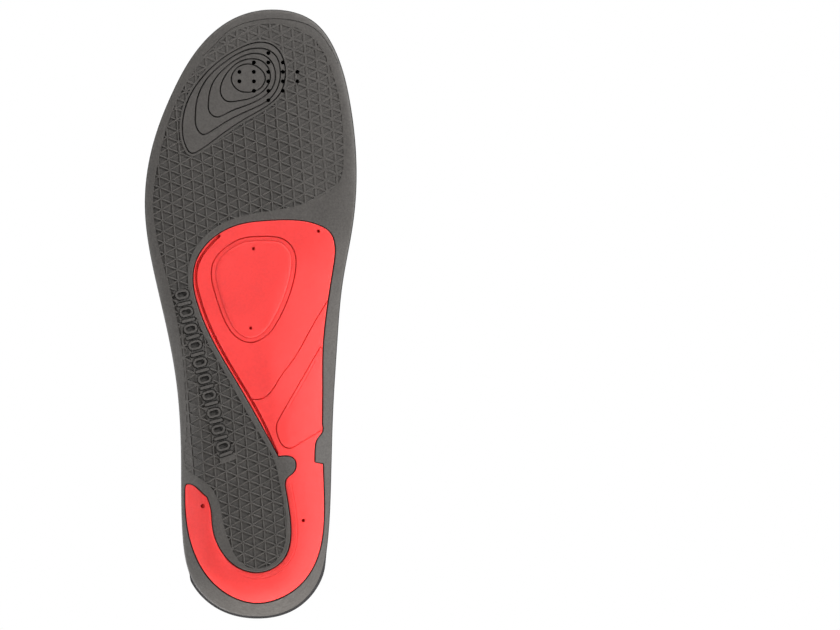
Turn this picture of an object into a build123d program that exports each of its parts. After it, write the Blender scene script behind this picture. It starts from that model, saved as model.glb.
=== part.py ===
from build123d import *
import math
import os

import numpy as np

# ---------------------------------------------------------------------------
# Cushioned insole for a right foot, in millimetres.
# +Z is up, +Y points to the toes, -X is the inner (arch) side. It stands on z = 0.
# Three glued layers: a textile cover, a moulded foam footbed and a firm support let
# into the footbed's underside. Cover and footbed are cut across at the ball of the
# foot, where the real one bends.
# ---------------------------------------------------------------------------

BLOCK_HEIGHT = 40.0
ABOVE_ALL = 60.0
BELOW_ALL = -30.0
COVER_THICKNESS = 1.0
SUPPORT_THICKNESS = 2.0
FLEX_Y = 58.0
FLEX_GAP = 0.3
# How far the surfaces dip below the floor, so that the floor plane cuts a true flat.
FLAT_DIP = 0.5

# Plan outline, from the toe tip round the inner side, the heel and the outer side.
OUTLINE = [
    (-10.5, 140), (-29, 134.5), (-40, 118.5), (-45.5, 98), (-48.5, 70), (-47, 42),
    (-42, 14), (-39.5, -12), (-37.5, -45), (-36.5, -80), (-35, -106), (-29.5, -126),
    (-18.5, -136.5), (-2.5, -140), (14.5, -136), (26.5, -124.5), (31.6, -104), (32.3, -70),
    (33.8, -36), (39, -5), (45, 22), (48.5, 50), (44.5, 79), (36, 101.5),
    (23, 123.3), (9, 135.2),
]

# Support outline in plan: the arch plate, the neck, and the horseshoe's rim, tip and mouth.
ARCH_PLATE = [
    (-12.9, -65.8), (-8.3, -57.3), (7, -30.4), (17.6, -12), (24.3, 4), (26.5, 17.5),
    (24.5, 26), (17, 35.3), (5, 41.3), (-7, 43), (-20, 43.3), (-31.5, 41), (-37.2, 37),
    (-38.9, 31.5), (-38, 21), (-35.6, 6), (-33.2, -16), (-33, -33), (-32.9, -50.9),
]
NECK_NOTCH = [(-32.9, -50.9), (-33, -54.5), (-30.6, -57.9), (-29.6, -62), (-29.5, -68.5)]
NECK_STEP = [(-29.5, -68.5), (-33.3, -69.3)]
HORSESHOE_RIM = [
    (-33.3, -69.3), (-33.8, -84), (-33.2, -102), (-29.6, -115.5), (-22.6, -125.3),
    (-13.5, -131.2), (-2.3, -133.5), (8.9, -130.3), (16.6, -124.8), (24.6, -113.8),
    (29.1, -100.7), (30.6, -86.2), (30.6, -81.2),
]
HORSESHOE_TIP = [(30.6, -81.2), (29.9, -78.8), (28.2, -78.5), (22.8, -81.9), (20, -84.3)]
HORSESHOE_MOUTH = [
    (20, -84.3), (18.3, -89.5), (17.6, -97), (15.4, -105.5), (10.3, -113.2), (3, -118),
    (-3.5, -119.1), (-11.6, -116.4), (-16.4, -111), (-18.5, -102.5), (-18.1, -92.9),
    (-15.9, -79.1),
]
BULB = [
    (-15.9, -79.1), (-16.6, -75.8), (-19.6, -73.2), (-20.9, -70.3), (-19.8, -66.6),
    (-17, -65.5), (-12.9, -65.8),
]

# Station lists: (y, value) along the foot.
# Height to which the underside rises at the plan edge.
INNER_RISE = [(-140, 12), (-90, 12.5), (-55, 15), (-20, 17.5), (12, 10), (38, 3), (62, 1.3), (141, 1.1)]
OUTER_RISE = [(-140, 12), (-85, 11.5), (-50, 8), (-10, 4.5), (30, 2), (62, 1.3), (141, 1.1)]
# Width in plan of the wall or arch slope that reaches that height.
INNER_SLOPE = [(-140, 17), (-90, 18), (-55, 27), (-20, 36), (12, 34), (38, 20), (62, 6), (141, 5)]
OUTER_SLOPE = [(-140, 17), (-85, 15), (-50, 11), (-10, 8), (30, 6), (62, 5), (141, 5)]
# Vertical thickness at the plan edge and in the middle.
EDGE_THICKNESS = [(-140, 5), (-60, 5), (0, 4.5), (50, 2.8), (141, 2.4)]
CORE_THICKNESS = [(-140, 8.5), (-60, 8), (0, 6), (50, 4.6), (141, 4.4)]

# Places at which the surfaces are worked out: across the foot and along it.
GRID_X = [5.0 * i for i in range(-11, 12)]
GRID_Y = [10.0 * i for i in range(-15, 16)]
SIDE_BLEND = 5.0
EDGE_STEPS = 720


def station_value(stations, y):
    """Smooth value at y: a cubic through the stations with averaged slopes."""
    y = min(max(y, stations[0][0]), stations[-1][0])
    i = max(k for k in range(len(stations) - 1) if stations[k][0] <= y)

    def secant(k):
        (y0, v0), (y1, v1) = stations[k], stations[k + 1]
        return (v1 - v0) / (y1 - y0)

    here = secant(i)
    start = (secant(i - 1) + here) / 2 if i > 0 else here
    end = (here + secant(i + 1)) / 2 if i < len(stations) - 2 else here
    (y0, v0), (y1, v1) = stations[i], stations[i + 1]
    span = y1 - y0
    t = (y - y0) / span
    return (
        v0 * (1 + 2 * t) * (1 - t) ** 2
        + v1 * t * t * (3 - 2 * t)
        + span * t * (1 - t) * (start * (1 - t) - end * t)
    )


def inner_share(x):
    """1 on the inner side of the foot, 0 on the outer side, smooth between them."""
    return 1 / (1 + math.exp(x / SIDE_BLEND))


def side_value(inner, outer, x, y):
    share = inner_share(x)
    return share * station_value(inner, y) + (1 - share) * station_value(outer, y)


outline_edge = Spline(*OUTLINE, periodic=True)
edge_points = np.array([tuple(outline_edge.position_at(i / EDGE_STEPS))[:2] for i in range(EDGE_STEPS)])
edge_next = np.roll(edge_points, -1, axis=0)


def edge_depth(x, y):
    """Distance in from the plan edge, negative outside it."""
    depth = float(np.hypot(edge_points[:, 0] - x, edge_points[:, 1] - y).min())
    spans_y = (edge_points[:, 1] > y) != (edge_next[:, 1] > y)
    starts, ends = edge_points[spans_y], edge_next[spans_y]
    crossings = starts[:, 0] + (y - starts[:, 1]) * (ends[:, 0] - starts[:, 0]) / (ends[:, 1] - starts[:, 1])
    inside = np.count_nonzero(crossings > x) % 2 == 1
    return depth if inside else -depth


def underside_height(x, y):
    depth = edge_depth(x, y)
    rise = side_value(INNER_RISE, OUTER_RISE, x, y)
    slope = side_value(INNER_SLOPE, OUTER_SLOPE, x, y)
    share = min(max(1 - depth / slope, 0), 1.3)
    return (rise + FLAT_DIP) * share**2 - FLAT_DIP


def top_height(x, y):
    depth = edge_depth(x, y)
    core = station_value(CORE_THICKNESS, y)
    rim = side_value(INNER_RISE, OUTER_RISE, x, y) + station_value(EDGE_THICKNESS, y)
    slope = side_value(INNER_SLOPE, OUTER_SLOPE, x, y) * 1.15
    share = min(max(1 - depth / slope, 0), 1.3)
    return core + (rim - core) * share**2


def space_beyond(height, lift, far_level):
    """The space between a curved surface, raised by lift, and a far flat level."""
    left, right = GRID_X[0], GRID_X[-1]
    with BuildPart() as space:
        for y in GRID_Y:
            curve = [(x, height(x, y) + lift) for x in GRID_X]
            with BuildSketch(Plane.XZ.offset(-y)):
                with BuildLine():
                    Spline(*curve)
                    Polyline(curve[-1], (right, far_level), (left, far_level), curve[0])
                make_face()
        loft()
    return space.part


above_underside = space_beyond(underside_height, 0, ABOVE_ALL)
below_support_top = space_beyond(underside_height, SUPPORT_THICKNESS, BELOW_ALL)
above_cover_bottom = space_beyond(top_height, -COVER_THICKNESS, ABOVE_ALL)
below_cover_bottom = space_beyond(top_height, -COVER_THICKNESS, BELOW_ALL)
below_cover_top = space_beyond(top_height, 0, BELOW_ALL)

FLEX_FRONT = Plane.XZ.offset(-(FLEX_Y + FLEX_GAP / 2))
FLEX_BACK = Plane.XZ.offset(-(FLEX_Y - FLEX_GAP / 2))

with BuildSketch() as insole_plan:
    with BuildLine():
        Spline(*OUTLINE, periodic=True)
    make_face()

with BuildSketch() as support_plan:
    with BuildLine():
        Spline(*ARCH_PLATE)
        Spline(*NECK_NOTCH)
        Line(*NECK_STEP)
        Spline(*HORSESHOE_RIM)
        Spline(*HORSESHOE_TIP)
        Spline(*HORSESHOE_MOUTH)
        Spline(*BULB)
    make_face()

os.makedirs("parts", exist_ok=True)

with BuildPart() as arch_heel_support:
    add(support_plan)
    extrude(amount=BLOCK_HEIGHT)
    add(above_underside, mode=Mode.INTERSECT)
    add(below_support_top, mode=Mode.INTERSECT)
arch_heel_support.part.label = "arch_heel_support"

with BuildPart() as whole_footbed:
    add(insole_plan)
    extrude(amount=BLOCK_HEIGHT)
    add(above_underside, mode=Mode.INTERSECT)
    add(below_cover_bottom, mode=Mode.INTERSECT)
    add(arch_heel_support.part, mode=Mode.SUBTRACT)

with BuildPart() as whole_cover:
    add(insole_plan)
    extrude(amount=BLOCK_HEIGHT)
    add(above_cover_bottom, mode=Mode.INTERSECT)
    add(below_cover_top, mode=Mode.INTERSECT)

with BuildPart() as footbed_forefoot:
    add(whole_footbed.part)
    split(bisect_by=FLEX_FRONT, keep=Keep.BOTTOM)
footbed_forefoot.part.label = "footbed_forefoot"

with BuildPart() as footbed_rearfoot:
    add(whole_footbed.part)
    split(bisect_by=FLEX_BACK, keep=Keep.TOP)
footbed_rearfoot.part.label = "footbed_rearfoot"

with BuildPart() as cover_forefoot:
    add(whole_cover.part)
    split(bisect_by=FLEX_FRONT, keep=Keep.BOTTOM)
cover_forefoot.part.label = "cover_forefoot"

with BuildPart() as cover_rearfoot:
    add(whole_cover.part)
    split(bisect_by=FLEX_BACK, keep=Keep.TOP)
cover_rearfoot.part.label = "cover_rearfoot"

for piece in (arch_heel_support, footbed_forefoot, footbed_rearfoot, cover_forefoot, cover_rearfoot):
    export_step(piece.part, f"parts/{piece.part.label}.step")
    box = piece.part.bounding_box()
    print(piece.part.label, len(piece.part.solids()), "solid(s)", piece.part.volume, box.min, box.max)
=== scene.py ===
import math

import bpy
import numpy as np
from bpy.props import FloatProperty, FloatVectorProperty, PointerProperty
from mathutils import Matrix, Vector


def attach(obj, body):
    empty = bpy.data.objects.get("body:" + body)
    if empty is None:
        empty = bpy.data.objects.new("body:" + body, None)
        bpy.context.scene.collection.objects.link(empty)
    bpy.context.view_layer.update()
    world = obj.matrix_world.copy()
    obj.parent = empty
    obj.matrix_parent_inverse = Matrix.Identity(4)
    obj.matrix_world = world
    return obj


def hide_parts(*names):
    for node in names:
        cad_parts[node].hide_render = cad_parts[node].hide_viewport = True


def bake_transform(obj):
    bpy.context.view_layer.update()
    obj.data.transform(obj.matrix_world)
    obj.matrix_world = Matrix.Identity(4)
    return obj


bl_info = {
    "name": "Cushioned Insole",
    "version": (1, 0, 0),
    "blender": (4, 5, 0),
    "location": "View3D > Sidebar > Insole",
    "description": "Builds a moulded insole: foam footbed, arch and heel support, textile cover",
    "category": "Object",
}

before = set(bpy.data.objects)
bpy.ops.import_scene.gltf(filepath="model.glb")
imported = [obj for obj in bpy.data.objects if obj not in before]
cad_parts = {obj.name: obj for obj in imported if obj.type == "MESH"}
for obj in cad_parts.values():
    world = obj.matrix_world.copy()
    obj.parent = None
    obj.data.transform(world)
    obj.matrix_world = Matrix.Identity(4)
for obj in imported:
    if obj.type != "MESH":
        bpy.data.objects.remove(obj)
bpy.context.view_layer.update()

# Outlines, stations and relief sizes are drawn in millimetres and made metres by MM.
MM = 0.001

# ---------------------------------------------------------------------------
# The insole's plan and heights, as the CAD model has them
# ---------------------------------------------------------------------------

OUTLINE = [
    (-10.5, 140), (-29, 134.5), (-40, 118.5), (-45.5, 98), (-48.5, 70), (-47, 42), (-42, 14),
    (-39.5, -12), (-37.5, -45), (-36.5, -80), (-35, -106), (-29.5, -126), (-18.5, -136.5),
    (-2.5, -140), (14.5, -136), (26.5, -124.5), (31.6, -104), (32.3, -70), (33.8, -36), (39, -5),
    (45, 22), (48.5, 50), (44.5, 79), (36, 101.5), (23, 123.3), (9, 135.2),
]

ARCH_PLATE = [
    (-12.9, -65.8), (-8.3, -57.3), (7, -30.4), (17.6, -12), (24.3, 4), (26.5, 17.5), (24.5, 26),
    (17, 35.3), (5, 41.3), (-7, 43), (-20, 43.3), (-31.5, 41), (-37.2, 37), (-38.9, 31.5),
    (-38, 21), (-35.6, 6), (-33.2, -16), (-33, -33), (-32.9, -50.9),
]
NECK_NOTCH = [(-32.9, -50.9), (-33, -54.5), (-30.6, -57.9), (-29.6, -62), (-29.5, -68.5)]
NECK_STEP = [(-29.5, -68.5), (-33.3, -69.3)]
HORSESHOE_RIM = [
    (-33.3, -69.3), (-33.8, -84), (-33.2, -102), (-29.6, -115.5), (-22.6, -125.3),
    (-13.5, -131.2), (-2.3, -133.5), (8.9, -130.3), (16.6, -124.8), (24.6, -113.8),
    (29.1, -100.7), (30.6, -86.2), (30.6, -81.2),
]
HORSESHOE_TIP = [(30.6, -81.2), (29.9, -78.8), (28.2, -78.5), (22.8, -81.9), (20, -84.3)]
HORSESHOE_MOUTH = [
    (20, -84.3), (18.3, -89.5), (17.6, -97), (15.4, -105.5), (10.3, -113.2), (3, -118),
    (-3.5, -119.1), (-11.6, -116.4), (-16.4, -111), (-18.5, -102.5), (-18.1, -92.9),
    (-15.9, -79.1),
]
BULB = [
    (-15.9, -79.1), (-16.6, -75.8), (-19.6, -73.2), (-20.9, -70.3), (-19.8, -66.6), (-17, -65.5),
    (-12.9, -65.8),
]
SUPPORT_RUNS = [
    ARCH_PLATE, NECK_NOTCH, NECK_STEP, HORSESHOE_RIM, HORSESHOE_TIP, HORSESHOE_MOUTH, BULB
]

# Stations are (y, value) along the foot: how high the underside's edge rises on the inner
# and the outer side, how wide that slope is, and how thick the insole is at its edge and
# over its core. The inner side's values turn into the outer side's over SIDE_BLEND.
INNER_RISE = [
    (-140, 12), (-90, 12.5), (-55, 15), (-20, 17.5), (12, 10), (38, 3), (62, 1.3), (141, 1.1),
]
OUTER_RISE = [(-140, 12), (-85, 11.5), (-50, 8), (-10, 4.5), (30, 2), (62, 1.3), (141, 1.1)]
INNER_SLOPE = [(-140, 17), (-90, 18), (-55, 27), (-20, 36), (12, 34), (38, 20), (62, 6), (141, 5)]
OUTER_SLOPE = [(-140, 17), (-85, 15), (-50, 11), (-10, 8), (30, 6), (62, 5), (141, 5)]
EDGE_THICKNESS = [(-140, 5), (-60, 5), (0, 4.5), (50, 2.8), (141, 2.4)]
CORE_THICKNESS = [(-140, 8.5), (-60, 8), (0, 6), (50, 4.6), (141, 4.4)]
SIDE_BLEND = 5.0
TOP_SLOPE_SHARE = 1.15
# The slopes run on this far past the edge, as a share of their width.
RIM_REACH = 1.1
COVER_THICKNESS = 1.0

# ---------------------------------------------------------------------------
# Relief of the underside
# ---------------------------------------------------------------------------

# How far the foam and the support lie above the lowest points of the underside,
# which are the grip relief and the raised pads.
FOAM_LIFT = 0.45
SUPPORT_LIFT = 0.5
SUPPORT_THICKNESS = 1.95
RECESS_DEPTH = 1.58
RECESS_CHAMFER = 0.25
# The footbed is cut from a flat slab and bent. Relief down to FOAM_DETAIL_DEPTH keeps its
# depth where that is no more than DETAIL_SHARE of the foam's own thickness.
SLAB = 3.0
FOAM_DETAIL_DEPTH = 1.6
DETAIL_SHARE = 0.6
FOOTBED_ROUNDING = 0.9

# The field of small triangles, round the toes, down the outer side, round the heel's
# tongue and back up along the support.
TRIANGLE_FIELD = [
    (-11, 133.6), (0.7, 132.4), (10, 128.5), (17, 122.5), (25.5, 112.5), (33.5, 99), (38.7, 85.5),
    (43, 67.7), (44.8, 48), (43.2, 36), (40.5, 24), (37.2, 12), (33.6, -4), (31.2, -20),
    (30.3, -34), (30.1, -58), (29.4, -72), (21.6, -76.8), (16.5, -82.5), (14.1, -88), (12.4, -97),
    (9.6, -105.6), (4.4, -114.6), (-2.5, -117.4), (-9.6, -115.4), (-14.8, -109), (-16.5, -101),
    (-16.1, -90.4), (-13.8, -79.7), (-10.9, -67.3), (-6, -58), (2.4, -44), (10.7, -29),
    (20, -12.5), (26.5, 3), (28.8, 17.5), (26.6, 28), (18.5, 38), (5.5, 44.6), (-10, 47.6),
    (-22, 50), (-32, 54), (-40.2, 60), (-42.8, 76), (-41.4, 96), (-37.4, 112), (-31, 124.5),
    (-22, 131.4),
]
LATTICE_SIDE = 5.1
LATTICE_TURN = math.radians(-4.4)
LATTICE_START = (1.4, 0)
LATTICE_REACH = 150
# The circle inside a triangle whose base and height are both one lattice side.
LATTICE_LEG = math.hypot(LATTICE_SIDE, LATTICE_SIDE / 2)
LATTICE_INNER_RADIUS = LATTICE_SIDE * LATTICE_SIDE / (LATTICE_SIDE + 2 * LATTICE_LEG)
# A pocket's mouth is this share of its triangle, and its floor this share of its mouth.
POCKET_SHARE = 0.93
POCKET_FLOOR_SHARE = 0.87
POCKET_DEPTH = 0.42
POCKET_MOUTH = -0.1
# Where the triangles are faintest, their pockets keep this share of their size and depth.
FAINT_SIZE = 0.85
FAINT_DEPTH = 0.6
# They fade between these places: along y to the front, by -x within y on the inner side,
# and by x within y up the outer wall.
FADE_FORWARD = (85, 122)
FADE_INWARD = (8, 36)
FADE_INWARD_ALONG = (30, 60)
FADE_WALL = (26.8, 28.5)
FADE_WALL_ALONG = (5, -20)

# Contour grooves under the ball: drop shapes round the breathing holes, largest first.
BALL_CONTOURS = [
    [
        (-4.4, 125.1), (-9.2, 124.3), (-13.1, 121.2), (-15.6, 115.7), (-16, 109.3),
        (-13.8, 101.9), (-8.1, 96.1), (1, 90.7), (13.1, 82.8), (23.7, 75.2), (27.1, 74),
        (30, 77.8), (31.4, 86.2), (29.5, 96.6), (24.3, 106.3), (16.1, 115.1), (5.5, 122.1),
    ],
    [
        (-3.2, 122.4), (-8.1, 121.6), (-11.8, 118.7), (-13.6, 113.2), (-12.9, 105.3), (-9, 99.2),
        (-2.1, 95), (9.5, 89.5), (18.3, 84), (21.9, 82.7), (24.5, 85.2), (25.4, 91.5),
        (24.6, 98.7), (20.1, 108.2), (11.3, 116.3), (3.5, 120.9),
    ],
    [
        (-2, 120), (-6.7, 118.9), (-10.1, 115.5), (-11.5, 110.2), (-10.1, 104.2), (-5.3, 99.5),
        (2.5, 95.8), (10.1, 92.8), (16.1, 90.8), (18.6, 92.6), (19.4, 97.5), (17.4, 106.3),
        (11.3, 113.6), (3.9, 118.5),
    ],
    [
        (-0.6, 117.5), (-5.3, 116.4), (-8.5, 112.7), (-9, 107.9), (-6.2, 103), (0.2, 99.2),
        (6.5, 98), (11.3, 98.2), (13.6, 101.2), (13.4, 106), (10.6, 111.2), (5.2, 116),
    ],
    [
        (1.3, 115.1), (-3.7, 113.5), (-6.8, 109), (-4.8, 104.2), (0.7, 102.1), (6.1, 103.4),
        (8.8, 108.1), (6.8, 112.7),
    ],
]
# Slots are given as half their width, and their depth.
CONTOUR_SLOT = (0.34, 1.3)
# No triangles within the largest contour, nor this far round it.
CONTOUR_MARGIN = 1.2
TOE_TRIM_LINE = [
    (21.9, 118.9), (15.4, 125), (11.6, 129.1), (4.5, 133.2), (-4.7, 135.5), (-14.1, 135.8),
    (-22.8, 134.4), (-29.9, 131), (-34.3, 126.3), (-38, 120.3), (-40.3, 115.3),
]
TRIM_SLOT = (0.25, 0.3)

# Breathing holes: columns of 2, 4, 6, 4 and 2, closed by the cover above them.
HOLE_CENTRE = (-8.25, 109.3)
HOLE_COLUMN_PITCH = 6.67
HOLE_ROW_PITCH = 4.35
HOLE_COLUMN_COUNTS = [2, 4, 6, 4, 2]
HOLE_RADIUS = 0.95

# Grip relief along the outer side of the waist: rings and bars by turns.
GRIP_LINE = [
    (32, 11.3), (30, 2.8), (27, -8.7), (24, -19.5), (19.8, -34.6), (15.9, -48.9), (12.2, -61.8),
    (9.9, -68),
]
GRIP_BAND_HALF = 3.7
GRIP_LENGTH = 6.4
GRIP_RING_WIDTH = 4.2
GRIP_BAR_WIDTH = 1.3
GRIP_STROKE = 0.95
GRIP_PITCH = 4.0
GRIP_START = 0.6 * GRIP_PITCH
GRIP_END = 1.0
GRIP_HEIGHT = 0.43
# Each mark stands in a moat and is rooted below its floor; a ring's hollow goes just past it.
MOAT_WIDTH = 0.5
MOAT_DEPTH = 0.4
GRIP_ROOT = 0.3
RING_FLOOR = 0.02

# ---------------------------------------------------------------------------
# Relief of the support
# ---------------------------------------------------------------------------

BALL_PAD = [
    (-5.9, 35.7), (4.7, 34.4), (12.4, 29.8), (17, 24.1), (18, 17), (16.2, 8.9), (12.2, -2.4),
    (7, -10.2), (0, -13.2), (-7.3, -10.1), (-12.6, -3), (-17.9, 8.9), (-20.6, 19.5), (-20.4, 28),
    (-16.5, 33.6),
]
PAD_SHOULDER = (2.0, 2.9)
ARCH_PAD_RISE = 0.8
ARCH_PAD_SHOULDER = (0.4, 5.0)
ARCH_PAD_TIP = [(-34.6, -17.6), (-31.9, -15.2)]
ARCH_PAD = [
    (-31.9, -15.2), (-27.9, -22.1), (-23.3, -30.2), (-18.2, -39.2), (-13.8, -47), (-12.1, -50.7),
    (-12, -54), (-13.1, -57.7), (-15.1, -60.9), (-18.4, -61.9), (-21.8, -60.2), (-26.4, -57.4),
    (-33.6, -53.1),
]
ARCH_LEDGE = [(-29.5, -21.6), (-26.3, -27.8), (-21.8, -35.6), (-17.3, -43.6)]
ARCH_DENT = (-19.3, -54.6)
DENT_DEPTH = 0.4
DENT_RADIUS = 2.2
ARCH_GROOVE = [
    (0.6, -39.1), (-3.5, -39.4), (-6.3, -38.7), (-8.3, -37.1), (-13.3, -29.7), (-20.2, -20),
    (-26.7, -8.4), (-36.2, 7.6),
]
OUTER_STEP = [
    (-12.4, -64.5), (-6.3, -50.7), (-0.9, -40.6), (9.6, -23.1), (20.5, -1.3), (23.8, 8.8),
    (25.2, 17.1), (24.2, 23.1), (20.6, 29.3), (14, 36.3),
]
SUPPORT_SLOT = (0.38, 0.8)
STEP_SLOT = (0.42, 1.05)
# The outer step is two slots, this far to either side of its line.
STEP_HALF = 0.35
SUPPORT_ROUNDING = 0.5
# How far the ledges run inside the ball pad and round the horseshoe's mouth.
PAD_LEDGE = 2.2
MOUTH_LEDGE = 3.0
MOUTH_HOLLOW = 0.7
MOUTH_HOLLOW_REACH = (0.5, 3.2)
LEDGE_SLOT = (0.35, 0.17)
PIN_DEPTH = 1.2
# Ejector pin marks: place and radius.
PIN_MARKS = [
    (-31.3, 38.1, 0.75), (-1.4, 30, 0.75), (-0.1, -6.5, 0.75), (-24.3, -95.2, 0.85),
    (22, -88.6, 1.0),
]

# ---------------------------------------------------------------------------
# The cover's cut
# ---------------------------------------------------------------------------

# Round the back of the heel the cover stands out further. Its overhang grows from nothing
# extra to all of it between two slanting lines across the heel.
HEEL_SLANT = (0.17, 1)
HEEL_LINES = (-119, -115)
HEEL_EASE = 0.25

# ---------------------------------------------------------------------------
# Mesh making
# ---------------------------------------------------------------------------

# Cutters reach this far past what they cut.
CLEAR = 1.0
# Rounded prisms start just below the slab, so that their foot doesn't lie on its face.
JUST_BELOW = -0.001
# How far flat blanks stand out round the plan of the whole sole and of the support.
SOLE_MARGIN = 3
SUPPORT_MARGIN = 2
# Edges longer than this many cells are halved, at most HALVINGS times.
SOLE_EDGE = 1.6
SUPPORT_EDGE = 2
HALVINGS = 6
MERGE_DISTANCE = 2e-6


def srgb(red, green, blue):
    """Linear colour of an 8-bit colour as seen."""
    return tuple(
        v / 12.92 if v <= 0.04045 else ((v + 0.055) / 1.055) ** 2.4
        for v in (red / 255, green / 255, blue / 255)
    )


# ---------------------------------------------------------------------------
# Settings
# ---------------------------------------------------------------------------


def length_setting(name, description, default):
    return FloatProperty(name=name, description=description, default=default, unit="LENGTH")


def colour_setting(name, description, default):
    return FloatVectorProperty(
        name=name, description=description, default=default, subtype="COLOR", size=3
    )


class InsoleSizes(bpy.types.PropertyGroup):
    foam_cell: length_setting("Foam cell", "Mesh spacing on the footbed", 0.0018)
    support_cell: length_setting("Support cell", "Mesh spacing on the support", 0.0012)
    cover_cell: length_setting("Cover cell", "Mesh spacing on the cover", 0.0016)
    support_gap: length_setting("Support gap", "Gap between the support and its recess", 0.00045)
    cover_overhang: length_setting(
        "Cover overhang", "How far the cover's cut edge stands out past the footbed", 0.0003
    )
    heel_overhang: length_setting(
        "Heel overhang", "How far the cover stands out round the back of the heel", 0.0013
    )
    flex_reach: length_setting(
        "Flex reach", "Length over which the sole bends, each side of the joint", 0.02
    )


class InsoleColours(bpy.types.PropertyGroup):
    foam: colour_setting("Foam", "Footbed foam", srgb(67, 65, 63))
    support: colour_setting("Support", "Arch and heel support", srgb(216, 66, 65))
    cover: colour_setting("Cover", "Top cover", srgb(30, 30, 32))
    floor: colour_setting("Floor", "Studio floor", srgb(246, 246, 246))


class InsoleStage(bpy.types.PropertyGroup):
    camera_distance: length_setting("Camera distance", "Camera to the sole", 2.4)
    view_width: length_setting("View width", "Width seen at the sole", 0.3868)
    world_strength: FloatProperty(
        name="Tent light", description="Strength of the light all round", default=1.0
    )


# ---------------------------------------------------------------------------
# Curves and heights
# ---------------------------------------------------------------------------


def cubic(start, end, slope_out, slope_in, span, t):
    """Place or value at the share t of a span with given ends and slopes."""
    ends = start * (1 + 2 * t) * (1 - t) ** 2 + end * t**2 * (3 - 2 * t)
    return ends + span * t * (1 - t) * (slope_out * (1 - t) - slope_in * t)


def smooth_through(points, closed=True, step=1.0):
    """Points about step apart on a smooth curve through the given points."""
    knots = np.array(points, float)
    if closed:
        knots = np.vstack([knots, knots[:1]])
    spans = np.hypot(*np.diff(knots, axis=0).T)
    last = len(spans)
    chords = np.diff(knots, axis=0) / spans[:, None]
    system = np.zeros((last + 1, last + 1))
    known = np.zeros((last + 1, 2))
    for i in range(1, last):
        system[i, i - 1 : i + 2] = spans[i], 2 * (spans[i - 1] + spans[i]), spans[i - 1]
        known[i] = 3 * (spans[i] * chords[i - 1] + spans[i - 1] * chords[i])
    if closed:
        system[0, 0], system[0, last] = 1, -1
        system[last, last - 1] = spans[0]
        system[last, 0] = 2 * (spans[-1] + spans[0])
        system[last, 1] = spans[-1]
        known[last] = 3 * (spans[0] * chords[-1] + spans[-1] * chords[0])
    else:
        system[0, :2] = 2, 1
        known[0] = 3 * chords[0]
        system[last, last - 1 :] = 1, 2
        known[last] = 3 * chords[-1]
    slopes = np.linalg.solve(system, known)
    line = []
    for i, span in enumerate(spans):
        count = max(1, math.ceil(span / step))
        t = (np.arange(count) / count)[:, None]
        line.append(cubic(knots[i], knots[i + 1], slopes[i], slopes[i + 1], span, t))
    if not closed:
        line.append(knots[-1:])
    return np.vstack(line)


def joined_runs(runs):
    """One closed outline from smooth runs that meet at corners."""
    return np.vstack([smooth_through(run, closed=False)[:-1] for run in runs])


def grown(outline, distance):
    """A closed outline moved outwards by distance."""
    following = np.roll(outline, -1, axis=0) - outline
    along = following / np.hypot(*following.T)[:, None]
    tangent = along + np.roll(along, 1, axis=0)
    tangent /= np.hypot(*tangent.T)[:, None]
    normal = np.stack([tangent[:, 1], -tangent[:, 0]], axis=1)
    x, y = outline.T
    area = np.sum(x * np.roll(y, -1) - np.roll(x, -1) * y)
    return outline + normal * distance * np.sign(area)


def depth_inside(outline, x, y):
    """Distance in from a closed outline, negative outside it."""
    starts, ends = outline, np.roll(outline, -1, axis=0)
    runs = ends - starts
    lengths = np.maximum((runs**2).sum(axis=1), 1e-12)
    depth = np.empty(len(x))
    for part in np.array_split(np.arange(len(x)), max(1, len(x) // 4000)):
        px, py = x[part][:, None], y[part][:, None]
        dx, dy = px - starts[:, 0], py - starts[:, 1]
        share = np.clip((dx * runs[:, 0] + dy * runs[:, 1]) / lengths, 0, 1)
        away = np.hypot(dx - share * runs[:, 0], dy - share * runs[:, 1]).min(axis=1)
        spans_y = (starts[:, 1] > py) != (ends[:, 1] > py)
        rise = np.where(runs[:, 1] == 0, 1, runs[:, 1])
        crossing = starts[:, 0] + dy * runs[:, 0] / rise
        inside = (spans_y & (crossing > px)).sum(axis=1) % 2 == 1
        depth[part] = np.where(inside, away, -away)
    return depth


def along_foot(stations, y):
    """Smooth value at y: a cubic through the stations with averaged slopes."""
    places, values = np.array(stations, float).T
    secants = np.diff(values) / np.diff(places)
    slopes = np.concatenate([secants[:1], (secants[1:] + secants[:-1]) / 2, secants[-1:]])
    y = np.clip(y, places[0], places[-1])
    i = np.clip(np.searchsorted(places, y, side="right") - 1, 0, len(places) - 2)
    span = places[i + 1] - places[i]
    return cubic(values[i], values[i + 1], slopes[i], slopes[i + 1], span, (y - places[i]) / span)


def by_side(inner, outer, x, y):
    """Value at (x, y) of stations for the inner side, x below 0, and the outer side."""
    share = 1 / (1 + np.exp(x / SIDE_BLEND))
    return share * along_foot(inner, y) + (1 - share) * along_foot(outer, y)


INSOLE_PLAN = smooth_through(OUTLINE, step=1.5)
SUPPORT_PLAN = joined_runs(SUPPORT_RUNS)


def underside_height(x, y):
    """Height of the underside, before its relief."""
    depth = depth_inside(INSOLE_PLAN, x, y)
    slope = by_side(INNER_SLOPE, OUTER_SLOPE, x, y)
    share = np.clip(1 - depth / slope, 0, RIM_REACH)
    return by_side(INNER_RISE, OUTER_RISE, x, y) * share**2


def top_height(x, y):
    """Height of the cover's upper face."""
    depth = depth_inside(INSOLE_PLAN, x, y)
    core = along_foot(CORE_THICKNESS, y)
    rim = by_side(INNER_RISE, OUTER_RISE, x, y) + along_foot(EDGE_THICKNESS, y)
    slope = by_side(INNER_SLOPE, OUTER_SLOPE, x, y) * TOP_SLOPE_SHARE
    share = np.clip(1 - depth / slope, 0, RIM_REACH)
    return core + (rim - core) * share**2


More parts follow.
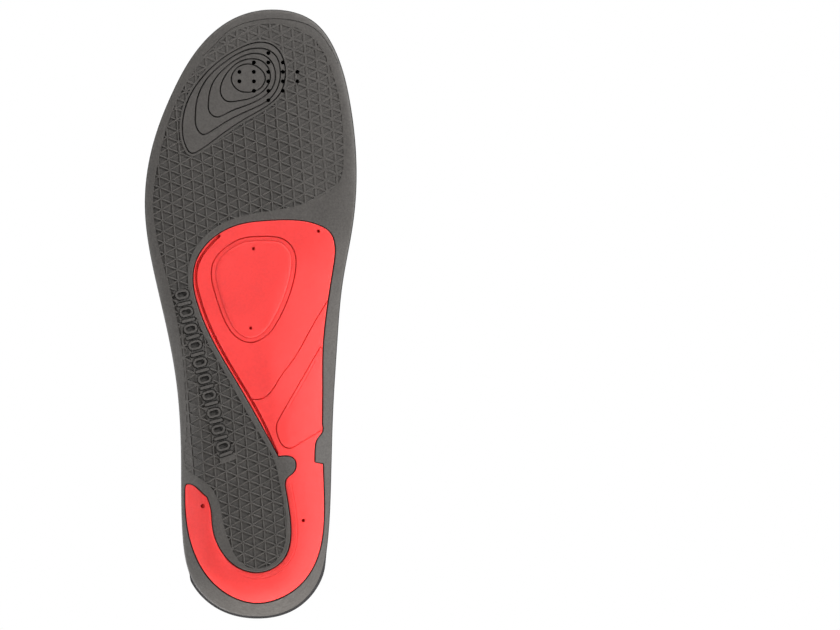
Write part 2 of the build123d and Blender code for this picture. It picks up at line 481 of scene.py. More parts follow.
def smoothstep(low, high, value):
    """0 at low, 1 at high, smooth between, whichever of the two is larger."""
    t = np.clip((value - low) / (high - low), 0, 1)
    return t * t * (3 - 2 * t)


# ---------------------------------------------------------------------------
# Workshop: flat blanks, cutters and bending to shape
# ---------------------------------------------------------------------------


def deselect():
    bpy.ops.object.select_all(action="DESELECT")


def pick_only(piece):
    """Selects the piece alone and makes it active."""
    deselect()
    piece.select_set(True)
    bpy.context.view_layer.objects.active = piece


def edit_all(piece):
    """Enters edit mode with all of the piece selected."""
    pick_only(piece)
    bpy.ops.object.mode_set(mode="EDIT")
    bpy.ops.mesh.select_all(action="SELECT")


def close_up(piece):
    """Turns the faces outwards and leaves edit mode."""
    bpy.ops.mesh.select_all(action="SELECT")
    bpy.ops.mesh.normals_make_consistent(inside=False)
    bpy.ops.object.mode_set(mode="OBJECT")
    return piece


def gridded_blank(name, plan, margin, cell, thickness):
    """A closed flat slab over a plan, its two faces grids of cell, in millimetres."""
    low, high = plan.min(axis=0) - margin, plan.max(axis=0) + margin
    width, length = high - low
    deselect()
    bpy.ops.mesh.primitive_grid_add(
        x_subdivisions=round(width / cell), y_subdivisions=round(length / cell), size=1
    )
    blank = bpy.context.object
    blank.name = name
    blank.data.name = name
    blank.scale = (width, length, 1)
    blank.location = (*(low + high) / 2, 0)
    bpy.ops.object.transform_apply(location=True, rotation=True, scale=True)
    edit_all(blank)
    bpy.ops.mesh.extrude_region_move(TRANSFORM_OT_translate={"value": (0, 0, thickness)})
    return close_up(blank)


def pick_edges(piece, wanted):
    """Enters edit mode with only the wanted edges selected."""
    bpy.context.tool_settings.mesh_select_mode = (False, True, False)
    edit_all(piece)
    bpy.ops.mesh.select_all(action="DESELECT")
    bpy.ops.object.mode_set(mode="OBJECT")
    piece.data.edges.foreach_set("select", np.asarray(wanted, bool))
    bpy.ops.object.mode_set(mode="EDIT")


def plan_prism(outline, bottom, top, rounding=0.0, foot=None):
    """A closed prism on a plan outline, its lower edge rounded or spread to the foot outline."""
    deselect()
    bpy.ops.mesh.primitive_circle_add(vertices=len(outline), fill_type="NGON")
    prism = bpy.context.object
    for vertex, place in zip(prism.data.vertices, outline if foot is None else foot):
        vertex.co = (place[0], place[1], bottom)
    edit_all(prism)
    bpy.ops.mesh.extrude_region_move(TRANSFORM_OT_translate={"value": (0, 0, top - bottom)})
    close_up(prism)
    if foot is not None:
        for vertex, place in zip(prism.data.vertices[len(outline) :], outline):
            vertex.co = (place[0], place[1], top)
    if rounding:
        low = places_of(prism)[:, 2] < (bottom + top) / 2
        pick_edges(prism, [low[list(edge.vertices)].all() for edge in prism.data.edges])
        bpy.ops.mesh.bevel(offset=rounding, segments=3, affect="EDGES", clamp_overlap=False)
        bpy.ops.object.mode_set(mode="OBJECT")
    return prism


def slot_along(line, half_width, depth, closed):
    """A cutter for a round-bottomed slot along a plan line on the slab's lower face."""
    curve = bpy.data.curves.new("slot", "CURVE")
    curve.dimensions = "3D"
    curve.bevel_depth = half_width
    curve.bevel_resolution = 1
    curve.use_fill_caps = not closed
    spline = curve.splines.new("POLY")
    spline.points.add(len(line) - 1)
    for point, place in zip(spline.points, line):
        point.co = (place[0], place[1], 0, 1)
    spline.use_cyclic_u = closed
    slot = bpy.data.objects.new("slot", curve)
    bpy.context.scene.collection.objects.link(slot)
    pick_only(slot)
    bpy.ops.object.convert(target="MESH")
    slot = bpy.context.object
    slot.scale = (1, 1, depth / half_width)
    bpy.ops.object.transform_apply(location=True, rotation=True, scale=True)
    edit_all(slot)
    bpy.ops.mesh.remove_doubles(threshold=1e-5)
    return close_up(slot)


def round_pin(place, radius, bottom, top):
    """An upright cylinder to cut a hole with."""
    deselect()
    bpy.ops.mesh.primitive_cylinder_add(
        vertices=20, radius=radius, depth=top - bottom, location=(*place, (bottom + top) / 2)
    )
    bpy.ops.object.transform_apply(location=True, rotation=True, scale=True)
    return bpy.context.object


def combine(piece, tool, operation):
    """Cuts with, keeps within, or adds the tool, which is used up."""
    modifier = piece.modifiers.new("combine", "BOOLEAN")
    modifier.object = tool
    modifier.operation = operation
    modifier.solver = "MANIFOLD"
    pick_only(piece)
    bpy.ops.object.modifier_apply(modifier=modifier.name)
    if not piece.data.polygons:
        raise RuntimeError(f"{operation} with {tool.name} left nothing of {piece.name}")
    bpy.data.objects.remove(tool)


def places_of(piece):
    """The places of the piece's vertices, one row each."""
    flat = np.empty(len(piece.data.vertices) * 3, np.float32)
    piece.data.vertices.foreach_get("co", flat)
    return flat.reshape(-1, 3).astype(float)


def put_places(piece, places):
    piece.data.vertices.foreach_set("co", places.astype(np.float32).ravel())
    piece.data.update()


def make_triangles(piece):
    """Divides all the faces into triangles."""
    edit_all(piece)
    bpy.ops.mesh.quads_convert_to_tris(quad_method="BEAUTY", ngon_method="BEAUTY")
    bpy.ops.object.mode_set(mode="OBJECT")


def halve_long_edges(piece, longest):
    """Halves the edges longer than longest, so that wide flat faces can bend."""
    make_triangles(piece)
    for _ in range(HALVINGS):
        places = places_of(piece)
        ends = np.empty(len(piece.data.edges) * 2, np.int32)
        piece.data.edges.foreach_get("vertices", ends)
        runs = places[ends[::2]] - places[ends[1::2]]
        pick_edges(piece, (runs**2).sum(axis=1) > longest**2)
        bpy.ops.mesh.subdivide(number_cuts=1)
        bpy.ops.object.mode_set(mode="OBJECT")
        make_triangles(piece)


def bend_to_shape(piece, shape, longest):
    """Turns flat places in millimetres into the insole's own, in metres."""
    halve_long_edges(piece, longest)
    places = places_of(piece)
    places[:, 2] = shape(*places.T)
    put_places(piece, places * MM)
    edit_all(piece)
    bpy.ops.mesh.remove_doubles(threshold=MERGE_DISTANCE)
    close_up(piece)


def finish_surface(piece, material, sharp_degrees):
    """Smooth shading except over sharp edges, and the piece's one material."""
    pick_only(piece)
    bpy.ops.object.shade_smooth_by_angle(angle=math.radians(sharp_degrees))
    piece.data.materials.clear()
    piece.data.materials.append(material)


def flex_with_foot(piece):
    """Bakes the piece's transform into its mesh."""
    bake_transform(piece)


# ---------------------------------------------------------------------------
# Materials
# ---------------------------------------------------------------------------

NOISE_ROUGHNESS = 0.55
# A noise seldom leaves this range.
NOISE_RANGE = (0.3, 0.7)
STITCH_WIDTH = 0.0011
STITCH_HEIGHT = 0.00085


def worked(tree, operation, a, b=None):
    """The output of a math node on numbers or other outputs."""
    node = tree.nodes.new("ShaderNodeMath")
    node.operation = operation
    for value, target in zip((a, b), node.inputs):
        if isinstance(value, (int, float)):
            target.default_value = value
        elif value is not None:
            tree.links.new(value, target)
    return node.outputs[0]


class Finish:
    """A node material being put together."""

    def __init__(self, name, roughness, specular):
        self.material = bpy.data.materials.new(name)
        self.material.use_nodes = True
        self.tree = self.material.node_tree
        self.inputs = self.tree.nodes["Principled BSDF"].inputs
        self.inputs["Roughness"].default_value = roughness
        self.inputs["Specular IOR Level"].default_value = specular
        self.place = self.tree.nodes.new("ShaderNodeTexCoord").outputs["Object"]

    def link(self, output, target):
        self.tree.links.new(output, target)

    def noise(self, scale, detail):
        node = self.tree.nodes.new("ShaderNodeTexNoise")
        node.inputs["Scale"].default_value = scale
        node.inputs["Detail"].default_value = detail
        node.inputs["Roughness"].default_value = NOISE_ROUGHNESS
        self.link(self.place, node.inputs["Vector"])
        return node.outputs["Fac"]

    def math(self, operation, a, b=None):
        return worked(self.tree, operation, a, b)

    def spread(self, value, low, high):
        """Maps the usual range of a noise to low..high."""
        node = self.tree.nodes.new("ShaderNodeMapRange")
        node.inputs["From Min"].default_value = NOISE_RANGE[0]
        node.inputs["From Max"].default_value = NOISE_RANGE[1]
        node.inputs["To Min"].default_value = low
        node.inputs["To Max"].default_value = high
        self.link(value, node.inputs["Value"])
        return node.outputs["Result"]

    def tint(self, colour, amount):
        """The colour made lighter or darker by amount, which is near 1."""
        node = self.tree.nodes.new("ShaderNodeVectorMath")
        node.operation = "SCALE"
        if isinstance(colour, tuple):
            node.inputs[0].default_value = colour
        else:
            self.link(colour, node.inputs[0])
        self.link(amount, node.inputs["Scale"])
        return node.outputs["Vector"]

    def bump(self, height, distance, strength, under=None):
        node = self.tree.nodes.new("ShaderNodeBump")
        node.inputs["Distance"].default_value = distance
        node.inputs["Strength"].default_value = strength
        self.link(height, node.inputs["Height"])
        if under is not None:
            self.link(under, node.inputs["Normal"])
        return node.outputs["Normal"]


def moulded_foam():
    """Matt grey foam: fine skin grain, soft mottling."""
    finish = Finish("moulded_foam", 0.72, 0.35)
    colour = tuple(bpy.context.scene.insole_colours.foam)
    mottle = finish.spread(finish.noise(60, 4), 0.93, 1.07)
    speckle = finish.spread(finish.noise(1200, 2), 0.8, 1.2)
    finish.link(finish.tint(finish.tint(colour, mottle), speckle), finish.inputs["Base Color"])
    finish.link(finish.spread(finish.noise(500, 2), 0.62, 0.8), finish.inputs["Roughness"])
    soft = finish.bump(finish.noise(420, 3), 0.00012, 0.6)
    grain = finish.bump(finish.noise(2200, 2), 0.00005, 0.7, under=soft)
    finish.link(grain, finish.inputs["Normal"])
    return finish.material


def support_elastomer():
    """Satin red elastomer with faint clouding."""
    finish = Finish("support_elastomer", 0.5, 0.05)
    colour = tuple(bpy.context.scene.insole_colours.support)
    cloud = finish.spread(finish.noise(45, 4), 0.93, 1.05)
    fleck = finish.spread(finish.noise(900, 2), 0.96, 1.04)
    finish.link(finish.tint(finish.tint(colour, cloud), fleck), finish.inputs["Base Color"])
    finish.link(finish.spread(finish.noise(260, 3), 0.46, 0.6), finish.inputs["Roughness"])
    soft = finish.bump(finish.noise(150, 3), 0.00015, 0.5)
    grain = finish.bump(finish.noise(1500, 2), 0.00003, 0.6, under=soft)
    finish.link(grain, finish.inputs["Normal"])
    finish.inputs["Subsurface Weight"].default_value = 0.3
    finish.inputs["Subsurface Radius"].default_value = (0.002, 0.0006, 0.0004)
    finish.inputs["Subsurface Scale"].default_value = 1.0
    return finish.material


def knitted_textile():
    """Black knit: columns of small stitches with a slight sheen."""
    finish = Finish("knitted_textile", 0.85, 0.25)
    split = finish.tree.nodes.new("ShaderNodeSeparateXYZ")
    finish.link(finish.place, split.inputs["Vector"])
    column = finish.math("DIVIDE", split.outputs["X"], STITCH_WIDTH)
    row = finish.math("DIVIDE", split.outputs["Y"], STITCH_HEIGHT)
    across = finish.math("ABSOLUTE", finish.math("SUBTRACT", finish.math("FRACT", column), 0.5))
    slant = finish.math("ADD", row, across)
    stitch = finish.math("ABSOLUTE", finish.math("SINE", finish.math("MULTIPLY", slant, math.pi)))
    valley = finish.math("SINE", finish.math("MULTIPLY", finish.math("FRACT", column), math.pi))
    height = finish.math("MULTIPLY", stitch, finish.math("POWER", valley, 0.5))
    fuzz = finish.noise(3500, 2)
    height = finish.math("ADD", height, finish.math("MULTIPLY", fuzz, 0.2))
    colour = tuple(bpy.context.scene.insole_colours.cover)
    # Painted shade and highlight: the colour is darker in the valleys between stitches and
    # lighter on their tops, following the stitch height.
    light = finish.spread(finish.math("MULTIPLY", height, 0.6), 0.8, 1.25)
    cloud = finish.spread(finish.noise(35, 3), 0.9, 1.1)
    finish.link(finish.tint(finish.tint(colour, light), cloud), finish.inputs["Base Color"])
    finish.link(finish.bump(height, 0.0002, 0.8), finish.inputs["Normal"])
    finish.inputs["Sheen Weight"].default_value = 0.25
    finish.inputs["Sheen Roughness"].default_value = 0.4
    return finish.material


# ---------------------------------------------------------------------------
# Footbed
# ---------------------------------------------------------------------------


def relief_strength(x, y):
    """How full the triangles are: faint to the front, the inner side and up the outer wall."""
    forward = smoothstep(*FADE_FORWARD, y)
    inward = smoothstep(*FADE_INWARD, -x) * smoothstep(*FADE_INWARD_ALONG, y)
    wall = smoothstep(*FADE_WALL, x) * smoothstep(*FADE_WALL_ALONG, y)
    return 1 - np.maximum(np.maximum(forward, inward), wall)


def lattice_triangles(turn):
    """Centres of the lattice's triangles on the field, and the way that each points."""
    side = LATTICE_SIDE
    reach = math.ceil(LATTICE_REACH / side)
    centres, pointing = [], []
    for i in range(-reach, reach + 1):
        for j in range(-reach, reach + 1):
            half = side / 2 if i % 2 else 0
            centres.append((i * side + LATTICE_INNER_RADIUS, j * side + half))
            pointing.append(1)
            centres.append(((i + 1) * side - LATTICE_INNER_RADIUS, j * side + side / 2 + half))
            pointing.append(-1)
    centres = (np.array(centres) + LATTICE_START) @ turn
    near = depth_inside(smooth_through(TRIANGLE_FIELD, step=2.0), *centres.T) > -side
    return centres[near], np.array(pointing)[near]


def triangle_pockets():
    """One tapered pocket, copied over the whole lattice."""
    deselect()
    bpy.ops.mesh.primitive_cone_add(vertices=3, radius1=1, radius2=1, depth=2)
    tool = bpy.context.object
    model = places_of(tool)
    faces = [tuple(face.vertices) for face in tool.data.polygons]
    floor = model[:, 2] > 0
    # The round triangle becomes one with its base and its height one lattice side long,
    # centred where the ribs along its three sides come out equally wide.
    height = (model[:, 1] + 0.5) / 1.5 * LATTICE_SIDE
    base = model[:, 0] / math.sqrt(3) * LATTICE_SIDE
    model[:, :2] = np.stack([height - LATTICE_INNER_RADIUS, base], axis=1)
    c, s = math.cos(LATTICE_TURN), math.sin(LATTICE_TURN)
    turn = np.array([[c, s], [-s, c]])
    centres, pointing = lattice_triangles(turn)
    vertices, polygons = [], []
    for centre, way, full in zip(centres, pointing, relief_strength(*centres.T)):
        shape = model.copy()
        shape[:, 0] *= way
        size = POCKET_SHARE * (FAINT_SIZE + (1 - FAINT_SIZE) * full)
        shape[:, :2] *= np.where(floor, size * POCKET_FLOOR_SHARE, size)[:, None]
        shape[:, :2] = shape[:, :2] @ turn + centre
        depth = POCKET_DEPTH * (FAINT_DEPTH + (1 - FAINT_DEPTH) * full)
        shape[:, 2] = np.where(floor, depth, POCKET_MOUTH)
        start = len(vertices)
        vertices.extend(shape.tolist())
        polygons.extend([tuple(start + k for k in face) for face in faces])
    mesh = bpy.data.meshes.new("pockets")
    mesh.from_pydata(vertices, [], polygons)
    tool.data = mesh
    edit_all(tool)
    return close_up(tool)


def hole_places():
    """Where the breathing holes are, column by column."""
    middle = (len(HOLE_COLUMN_COUNTS) - 1) / 2
    for column, count in enumerate(HOLE_COLUMN_COUNTS):
        x = HOLE_CENTRE[0] + (column - middle) * HOLE_COLUMN_PITCH
        for row in range(count):
            yield x, HOLE_CENTRE[1] + (row - (count - 1) / 2) * HOLE_ROW_PITCH


def directions(line):
    """Unit directions along an open plan line."""
    along = np.gradient(line, axis=0)
    return along / np.hypot(*along.T)[:, None]


def beside(line, distance):
    """An open plan line moved to its left by distance."""
    along = directions(line)
    return line + np.stack([-along[:, 1], along[:, 0]], axis=1) * distance


def band_outline(line, half):
    """A strip of even width round a plan line, with square ends."""
    return np.vstack([beside(line, half), beside(line, -half)[::-1]])


def capsule(centre, along, length, width):
    """Outline of a round-ended bar across the direction along."""
    across = np.array([-along[1], along[0]])
    radius = width / 2
    outline = []
    for sign in (1, -1):
        for angle in np.linspace(-math.pi / 2, math.pi / 2, 9):
            reach = (length / 2 - radius + radius * math.cos(angle)) * sign
            outline.append(centre + across * reach + along * radius * math.sin(angle) * sign)
    return np.array(outline)


def joined(pieces):
    """All the pieces as one."""
    deselect()
    for piece in pieces:
        piece.select_set(True)
    bpy.context.view_layer.objects.active = pieces[0]
    bpy.ops.object.join()
    return bpy.context.object


def grip_relief():
    """Rings and bars across the grip line, and the moats they stand in."""
    line = smooth_through(GRIP_LINE, closed=False, step=0.5)
    travel = np.concatenate([[0], np.cumsum(np.hypot(*np.diff(line, axis=0).T))])
    along = directions(line)
    marks, hollows, moats = [], [], []
    for number, station in enumerate(np.arange(GRIP_START, travel[-1] - GRIP_END, GRIP_PITCH)):
        i = int(np.searchsorted(travel, station))
        ring = number % 2 == 0
        size = np.array([GRIP_LENGTH, GRIP_RING_WIDTH if ring else GRIP_BAR_WIDTH])
        place = line[i], along[i]
        marks.append(plan_prism(capsule(*place, *size), -GRIP_HEIGHT, MOAT_DEPTH + GRIP_ROOT))
        moats.append(plan_prism(capsule(*place, *(size + 2 * MOAT_WIDTH)), -CLEAR, MOAT_DEPTH))
        if ring:
            inside = capsule(*place, *(size - 2 * GRIP_STROKE))
            hollows.append(plan_prism(inside, -CLEAR, MOAT_DEPTH + RING_FLOOR))
    relief = joined(marks)
    combine(relief, joined(hollows), "DIFFERENCE")
    return relief, joined(moats)


def footbed_shape(x, y, flat):
    """Places on the flat slab, from 0 at the sole to SLAB at the cover, bent to shape."""
    low = underside_height(x, y) + FOAM_LIFT
    high = top_height(x, y) - COVER_THICKNESS
    room = np.minimum(1, DETAIL_SHARE * (high - low) / FOAM_DETAIL_DEPTH)
    detail = np.minimum(flat, FOAM_DETAIL_DEPTH) * np.where(flat > 0, room, 1)
    share = np.clip((flat - FOAM_DETAIL_DEPTH) / (SLAB - FOAM_DETAIL_DEPTH), 0, 1)
    return (low + detail) * (1 - share) + high * share


class INSOLE_OT_footbed(bpy.types.Operator):
    """Build the moulded foam footbed with its relief"""

    bl_idname = "insole.footbed"
    bl_label = "Footbed"

    def execute(self, context):
        sizes = context.scene.insole_sizes
        footbed = gridded_blank(
            "footbed", INSOLE_PLAN, SOLE_MARGIN, sizes.foam_cell / MM, SLAB
        )
        body = plan_prism(INSOLE_PLAN, JUST_BELOW, SLAB + CLEAR, rounding=FOOTBED_ROUNDING)
        combine(footbed, body, "INTERSECT")

        pockets = triangle_pockets()
        contours = [smooth_through(contour, step=0.8) for contour in BALL_CONTOURS]
        grip = smooth_through(GRIP_LINE, closed=False, step=3)
        field = smooth_through(TRIANGLE_FIELD, step=2.0)
        combine(pockets, plan_prism(field, -CLEAR, CLEAR), "INTERSECT")
        for bare in (grown(contours[0], CONTOUR_MARGIN), band_outline(grip, GRIP_BAND_HALF)):
            combine(pockets, plan_prism(bare, -CLEAR, CLEAR), "DIFFERENCE")
        combine(footbed, pockets, "DIFFERENCE")

        for line in contours:
            combine(footbed, slot_along(line, *CONTOUR_SLOT, closed=True), "DIFFERENCE")
        trim = smooth_through(TOE_TRIM_LINE, closed=False)
        combine(footbed, slot_along(trim, *TRIM_SLOT, closed=False), "DIFFERENCE")
        for place in hole_places():
            hole = round_pin(place, HOLE_RADIUS, -CLEAR, SLAB + CLEAR)
            combine(footbed, hole, "DIFFERENCE")
        recess = grown(SUPPORT_PLAN, sizes.support_gap / MM / 2)
        combine(footbed, plan_prism(recess, -CLEAR, RECESS_DEPTH), "DIFFERENCE")
        lip = grown(recess, 2 * RECESS_CHAMFER)
        chamfer = plan_prism(recess, -RECESS_CHAMFER, RECESS_CHAMFER, foot=lip)
        combine(footbed, chamfer, "DIFFERENCE")
        relief, moats = grip_relief()
        combine(footbed, moats, "DIFFERENCE")
        combine(footbed, relief, "UNION")

        bend_to_shape(footbed, footbed_shape, SOLE_EDGE * sizes.foam_cell / MM)
        finish_surface(footbed, moulded_foam(), sharp_degrees=32)
        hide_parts("footbed_forefoot", "footbed_rearfoot")
        flex_with_foot(footbed)
        return {"FINISHED"}


# ---------------------------------------------------------------------------
# Support
# ---------------------------------------------------------------------------

BALL_PAD_LINE = smooth_through(BALL_PAD)
ARCH_PAD_LINE = joined_runs([ARCH_PAD_TIP, ARCH_PAD])
MOUTH_SIDE = smooth_through(HORSESHOE_MOUTH[4:], closed=False)


def distance_to(line, x, y):
    """Distance to the nearest point of a line."""
    return np.min([np.hypot(x - px, y - py) for px, py in line], axis=0)


def support_shape(x, y, flat):
    """The support's flat places bent under the foot, with its pads raised."""
    pad = smoothstep(*PAD_SHOULDER, depth_inside(BALL_PAD_LINE, x, y))
    arch = ARCH_PAD_RISE * smoothstep(*ARCH_PAD_SHOULDER, depth_inside(ARCH_PAD_LINE, x, y))
    off_dent = np.hypot(x - ARCH_DENT[0], y - ARCH_DENT[1])
    dent = DENT_DEPTH * (1 - smoothstep(0, DENT_RADIUS, off_dent))
    off_mouth = distance_to(MOUTH_SIDE, x, y)
    hollow = MOUTH_HOLLOW * (1 - smoothstep(*MOUTH_HOLLOW_REACH, off_mouth))
    raised = (np.maximum(pad, arch) - dent - hollow) * SUPPORT_LIFT
    return underside_height(x, y) + SUPPORT_LIFT + flat - raised * (1 - flat / SUPPORT_THICKNESS)


class INSOLE_OT_support(bpy.types.Operator):
    """Build the arch and heel support let into the underside"""

    bl_idname = "insole.support"
    bl_label = "Arch and heel support"

    def execute(self, context):
        sizes = context.scene.insole_sizes
        plan = grown(SUPPORT_PLAN, -sizes.support_gap / MM / 2)
        top = SUPPORT_THICKNESS - SUPPORT_LIFT
        support = gridded_blank(
            "arch_and_heel_support", plan, SUPPORT_MARGIN, sizes.support_cell / MM, top
        )
        body = plan_prism(plan, JUST_BELOW, top + CLEAR, rounding=SUPPORT_ROUNDING)
        combine(support, body, "INTERSECT")
        arch_pad = np.vstack([ARCH_PAD_TIP[0], smooth_through(ARCH_PAD, closed=False)])
        step = smooth_through(OUTER_STEP, closed=False)
        mouth = smooth_through(HORSESHOE_MOUTH[5:], closed=False)
        grooves = [
            (BALL_PAD_LINE, SUPPORT_SLOT, True),
            (grown(BALL_PAD_LINE, -PAD_LEDGE), LEDGE_SLOT, True),
            (arch_pad, SUPPORT_SLOT, False),
            (smooth_through(ARCH_LEDGE, closed=False), LEDGE_SLOT, False),
            (beside(mouth, MOUTH_LEDGE), LEDGE_SLOT, False),
            (smooth_through(ARCH_GROOVE, closed=False), SUPPORT_SLOT, False),
            (beside(step, STEP_HALF), STEP_SLOT, False),
            (beside(step, -STEP_HALF), STEP_SLOT, False),
        ]
        for line, slot, closed in grooves:
            combine(support, slot_along(line, *slot, closed), "DIFFERENCE")
        for x, y, radius in PIN_MARKS:
            combine(support, round_pin((x, y), radius, -CLEAR, PIN_DEPTH), "DIFFERENCE")
        bend_to_shape(support, support_shape, SUPPORT_EDGE * sizes.support_cell / MM)
        finish_surface(support, support_elastomer(), sharp_degrees=35)
        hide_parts("arch_heel_support")
        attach(support, "rearfoot")
        return {"FINISHED"}


# ---------------------------------------------------------------------------
# Cover
# ---------------------------------------------------------------------------


def cover_plan(overhang, heel_overhang):
    """The cover's outline, which stands out further round the back of the heel."""
    start, end = HEEL_LINES
    start = start + HEEL_EASE * np.minimum(INSOLE_PLAN[:, 0], 0)
    back = 1 - smoothstep(start, end, INSOLE_PLAN @ HEEL_SLANT)[:, None]
    return grown(INSOLE_PLAN, overhang) * (1 - back) + grown(INSOLE_PLAN, heel_overhang) * back


def cover_shape(x, y, flat):
    """The cover's flat places laid over the footbed."""
    return top_height(x, y) - COVER_THICKNESS + flat


class INSOLE_OT_cover(bpy.types.Operator):
    """Build the textile cover on top of the footbed"""

    bl_idname = "insole.cover"
    bl_label = "Textile cover"

    def execute(self, context):
        sizes = context.scene.insole_sizes
        plan = cover_plan(sizes.cover_overhang / MM, sizes.heel_overhang / MM)
        cover = gridded_blank(
            "textile_cover", plan, SOLE_MARGIN, sizes.cover_cell / MM, COVER_THICKNESS
        )
        combine(cover, plan_prism(plan, -CLEAR, COVER_THICKNESS + CLEAR), "INTERSECT")
        bend_to_shape(cover, cover_shape, SOLE_EDGE * sizes.cover_cell / MM)
        finish_surface(cover, knitted_textile(), sharp_degrees=40)
        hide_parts("cover_forefoot", "cover_rearfoot")
        flex_with_foot(cover)
        return {"FINISHED"}


# ---------------------------------------------------------------------------
# Stage
# ---------------------------------------------------------------------------


WHITE = (1, 1, 1)
WARM = (1, 0.94, 0.89)
# Name, place, size, power and colour. Each faces the insole.
SOFTBOXES = [
    ("inner_toe_light", (-0.75, 0.6, -0.4), (0.3, 0.3), 15.5, WHITE),
    ("toe_light", (0.3, 0.95, -0.25), (0.5, 0.3), 5.0, WARM),
    ("outer_light", (0.95, 0, -0.3), (0.3, 0.7), 5.5, WHITE),
    ("heel_light", (-0.2, -0.95, -0.2), (0.7, 0.3), 15.0, WARM),
    ("top_light", (0.5, -0.5, 1.1), (0.9, 0.9), 14.0, WHITE),
]
FLOOR_SIZE = 6
FLOOR_DROP = 0.0006
CONTACT_SHADE = 0.06
# The tent's light: at its dimmest, what its sides add, how quickly that falls off, and the
# changes from the outer side to the inner and from toe to heel.
TENT_BASE = 0.12
TENT_SIDES = 2.7
TENT_FALLOFF = 3.0
TENT_INNER = -0.26
TENT_HEEL = -0.08
CAMERA_CENTRE = (-0.0781, -0.0005)
SENSOR_WIDTH = 36


def softbox(name, place, size, power, colour):
    """A rectangular lamp that faces the insole."""
    deselect()
    bpy.ops.object.light_add(type="AREA", location=place)
    lamp = bpy.context.object
    lamp.name = name
    lamp.data.shape = "RECTANGLE"
    lamp.data.size, lamp.data.size_y = size
    lamp.data.energy = power
    lamp.data.color = colour
    lamp.rotation_euler = (-Vector(place)).to_track_quat("-Z", "Y").to_euler()


def pale_floor():
    """An evenly glowing floor with soft painted contact shade, seen only from above."""
    deselect()
    bpy.ops.mesh.primitive_plane_add(size=FLOOR_SIZE, location=(0, 0, -FLOOR_DROP))
    floor = bpy.context.object
    floor.name = "floor"
    material = bpy.data.materials.new("pale_floor")
    material.use_nodes = True
    tree = material.node_tree
    link = tree.links.new
    tree.nodes.remove(tree.nodes["Principled BSDF"])
    # Painted contact shade: ambient occlusion darkens the floor's glow round and under the
    # insole.
    shade = tree.nodes.new("ShaderNodeAmbientOcclusion")
    shade.inputs["Color"].default_value = (*bpy.context.scene.insole_colours.floor, 1)
    shade.inputs["Distance"].default_value = CONTACT_SHADE
    glow = tree.nodes.new("ShaderNodeEmission")
    link(shade.outputs["Color"], glow.inputs["Color"])
    clear = tree.nodes.new("ShaderNodeBsdfTransparent")
    mix = tree.nodes.new("ShaderNodeMixShader")
    side = tree.nodes.new("ShaderNodeNewGeometry")
    link(side.outputs["Backfacing"], mix.inputs["Fac"])
    link(glow.outputs["Emission"], mix.inputs[1])
    link(clear.outputs["BSDF"], mix.inputs[2])
    link(mix.outputs["Shader"], tree.nodes["Material Output"].inputs["Surface"])
    floor.data.materials.append(material)
    floor.visible_shadow = False
    floor.visible_diffuse = False
    floor.visible_glossy = False


def light_tent(strength):
    """White all round to look at; as light it is dim above and below, bright at the sides."""
    world = bpy.data.worlds.new("light_tent")
    bpy.context.scene.world = world
    world.use_nodes = True
    tree = world.node_tree
    link = tree.links.new

    def work(operation, a, b=None):
        return worked(tree, operation, a, b)

    way = tree.nodes.new("ShaderNodeTexCoord")
    split = tree.nodes.new("ShaderNodeSeparateXYZ")
    link(way.outputs["Generated"], split.inputs["Vector"])
    level = work("SUBTRACT", 1, work("ABSOLUTE", split.outputs["Z"]))
    sides = work("MULTIPLY", work("POWER", level, TENT_FALLOFF), TENT_SIDES)
    rise = work("ADD", sides, TENT_BASE)
    inner = work("MULTIPLY", split.outputs["X"], TENT_INNER)
    heel = work("MULTIPLY", split.outputs["Y"], TENT_HEEL)
    tilt = work("ADD", work("ADD", inner, heel), 1)
    light = work("MULTIPLY", work("MULTIPLY", rise, tilt), strength)
    lit = tree.nodes["Background"]
    lit.inputs["Color"].default_value = (1, 1, 1, 1)
    link(light, lit.inputs["Strength"])
    seen = tree.nodes.new("ShaderNodeBackground")
    seen.inputs["Color"].default_value = (1, 1, 1, 1)
    mix = tree.nodes.new("ShaderNodeMixShader")
    path = tree.nodes.new("ShaderNodeLightPath")
    link(path.outputs["Is Camera Ray"], mix.inputs["Fac"])
    link(lit.outputs["Background"], mix.inputs[1])
    link(seen.outputs["Background"], mix.inputs[2])
    link(mix.outputs["Shader"], tree.nodes["World Output"].inputs["Surface"])


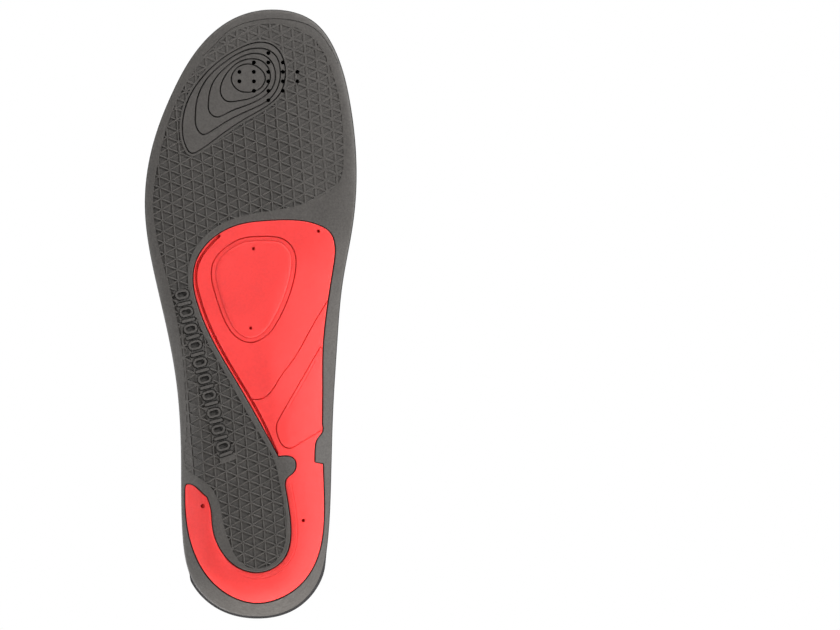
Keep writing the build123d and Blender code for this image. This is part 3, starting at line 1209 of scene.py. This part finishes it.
class INSOLE_OT_stage(bpy.types.Operator):
    """Set up the floor, the light tent, the softboxes and the camera under the sole"""

    bl_idname = "insole.stage"
    bl_label = "Stage"

    def execute(self, context):
        stage = context.scene.insole_stage
        light_tent(stage.world_strength)
        pale_floor()
        for lamp in SOFTBOXES:
            softbox(*lamp)
        deselect()
        bpy.ops.object.camera_add(
            location=(*CAMERA_CENTRE, -stage.camera_distance), rotation=(0, math.pi, 0)
        )
        camera = context.object
        camera.data.sensor_width = SENSOR_WIDTH
        camera.data.lens = SENSOR_WIDTH * stage.camera_distance / stage.view_width
        camera.data.clip_start = 0.05
        context.scene.camera = camera
        context.scene.view_settings.view_transform = "Standard"
        return {"FINISHED"}


class INSOLE_PT_panel(bpy.types.Panel):
    """Panel of the insole's pieces"""

    bl_idname = "INSOLE_PT_panel"
    bl_label = "Cushioned insole"
    bl_space_type = "VIEW_3D"
    bl_region_type = "UI"
    bl_category = "Insole"

    def draw(self, context):
        for group in ("insole_sizes", "insole_colours", "insole_stage"):
            settings = getattr(context.scene, group)
            for name in settings.bl_rna.properties.keys():
                if name not in ("rna_type", "name"):
                    self.layout.prop(settings, name)
        for operator in PIECES:
            self.layout.operator(operator.bl_idname)


PIECES = (INSOLE_OT_stage, INSOLE_OT_footbed, INSOLE_OT_support, INSOLE_OT_cover)
CLASSES = (InsoleSizes, InsoleColours, InsoleStage, *PIECES, INSOLE_PT_panel)


def register():
    for cls in CLASSES:
        bpy.utils.register_class(cls)
    bpy.types.Scene.insole_sizes = PointerProperty(type=InsoleSizes)
    bpy.types.Scene.insole_colours = PointerProperty(type=InsoleColours)
    bpy.types.Scene.insole_stage = PointerProperty(type=InsoleStage)


def unregister():
    del bpy.types.Scene.insole_stage
    del bpy.types.Scene.insole_colours
    del bpy.types.Scene.insole_sizes
    for cls in reversed(CLASSES):
        bpy.utils.unregister_class(cls)


def main():
    register()
    bpy.ops.insole.stage()
    bpy.ops.insole.footbed()
    bpy.ops.insole.support()
    bpy.ops.insole.cover()


if __name__ == "__main__":
    main()
